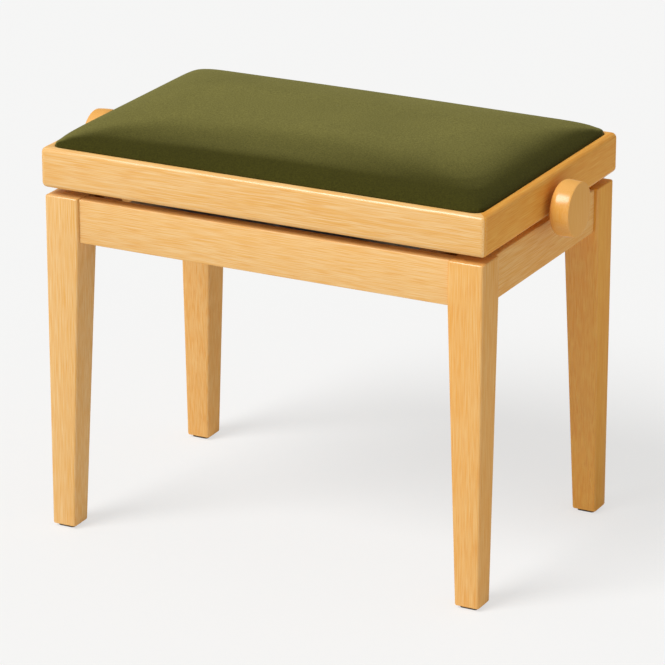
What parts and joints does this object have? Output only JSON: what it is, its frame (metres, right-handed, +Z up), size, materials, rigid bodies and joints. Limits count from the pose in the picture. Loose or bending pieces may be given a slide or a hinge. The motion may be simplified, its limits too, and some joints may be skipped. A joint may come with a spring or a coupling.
{
  "type": "piano bench",
  "caption": "Height-adjustable piano bench in beech with a padded velvet seat, two side knobs and a scissor lift.",
  "frame": {"origin": "on the floor, under the middle of the bench", "axes": "+Z up, +X along the bench towards the right-hand knob, -Y towards the front"},
  "size_m": [0.624, 0.357, 0.4954],
  "materials": {
    "beech": "satin varnish, fine straight grain",
    "plywood": "raw",
    "velvet": "short olive-green pile",
    "felt": "dark felt",
    "nylon": "natural nylon",
    "zinc_steel": "zinc plated",
    "bright_steel": "bright drawn"
  },
  "bodies": {
    "base": {"leg_front_left": "beech", "leg_front_right": "beech", "leg_back_left": "beech", "leg_back_right": "beech", "corner_brace_front_left": "beech", "corner_brace_front_right": "beech", "corner_brace_back_left": "beech", "corner_brace_back_right": "beech", "apron_front": "beech", "apron_back": "beech", "apron_left": "beech", "apron_right": "beech", "foot_glide_front_left": "felt", "foot_glide_front_right": "felt", "foot_glide_back_left": "felt", "foot_glide_back_right": "felt", "lower_channel_front": "zinc_steel", "lower_channel_back": "zinc_steel", "lower_pivot_rod": "bright_steel", "lower_channel_screw_front_left": "bright_steel", "lower_channel_screw_front_right": "bright_steel", "lower_channel_screw_back_left": "bright_steel", "lower_channel_screw_back_right": "bright_steel"},
    "seat": {"seat_rail_front": "beech", "seat_rail_back": "beech", "seat_rail_left": "beech", "seat_rail_right": "beech", "seat_board": "plywood", "cushion": "velvet", "upper_channel_front": "zinc_steel", "upper_channel_back": "zinc_steel", "upper_pivot_bar": "zinc_steel", "spindle_bush_left": "nylon", "spindle_bush_right": "nylon", "upper_channel_screw_front_left": "bright_steel", "upper_channel_screw_front_right": "bright_steel", "upper_channel_screw_back_left": "bright_steel", "upper_channel_screw_back_right": "bright_steel", "board_screw_front_left": "bright_steel", "board_screw_front_right": "bright_steel", "board_screw_back_left": "bright_steel", "board_screw_back_right": "bright_steel"},
    "spindle": {"spindle_rod": "bright_steel", "knob_left": "beech", "knob_right": "beech", "thrust_collar_left": "bright_steel", "thrust_collar_right": "bright_steel"},
    "outer_arms": {"outer_arm_front": "zinc_steel", "outer_arm_back": "zinc_steel", "centre_pin_front": "bright_steel", "centre_pin_back": "bright_steel"},
    "inner_arms": {"inner_arm_front": "zinc_steel", "inner_arm_back": "zinc_steel", "slide_rod": "bright_steel", "slide_rod_sleeve_front": "nylon", "slide_rod_sleeve_back": "nylon"},
    "nut": {"nut_bar": "zinc_steel", "nut_bar_sleeve_front": "nylon", "nut_bar_sleeve_back": "nylon"}
  },
  "joints": [
    {"name": "seat_lift", "type": "slide", "parent": "base", "child": "seat", "axis": [0, 0, 1], "range_m": [0, 0.09]},
    {"name": "spindle_turn", "type": "hinge", "parent": "seat", "child": "spindle", "pos_m": [0, 0, 0.427], "axis": [1, 0, 0], "range_deg": [0, 2881]},
    {"name": "outer_arms_swing", "type": "hinge", "parent": "base", "child": "outer_arms", "pos_m": [-0.159, 0, 0.39], "axis": [0, -1, 0], "range_deg": [0, 16.74]},
    {"name": "inner_arms_swing", "type": "hinge", "parent": "seat", "child": "inner_arms", "pos_m": [-0.159, 0, 0.427], "axis": [0, 1, 0], "range_deg": [0, 16.74]},
    {"name": "nut_bar_turn", "type": "hinge", "parent": "outer_arms", "child": "nut", "pos_m": [0.159, 0, 0.427], "axis": [0, 1, 0], "range_deg": [0, 16.74]}
  ],
  "couplings": [
    {"joint": "spindle_turn", "follows": "seat_lift", "rad_per_m": 558.5},
    {"joint": "outer_arms_swing", "follows": "seat_lift", "rad_per_m": 3.2454},
    {"joint": "inner_arms_swing", "follows": "seat_lift", "rad_per_m": 3.2454},
    {"joint": "nut_bar_turn", "follows": "seat_lift", "rad_per_m": 3.2454}
  ]
}
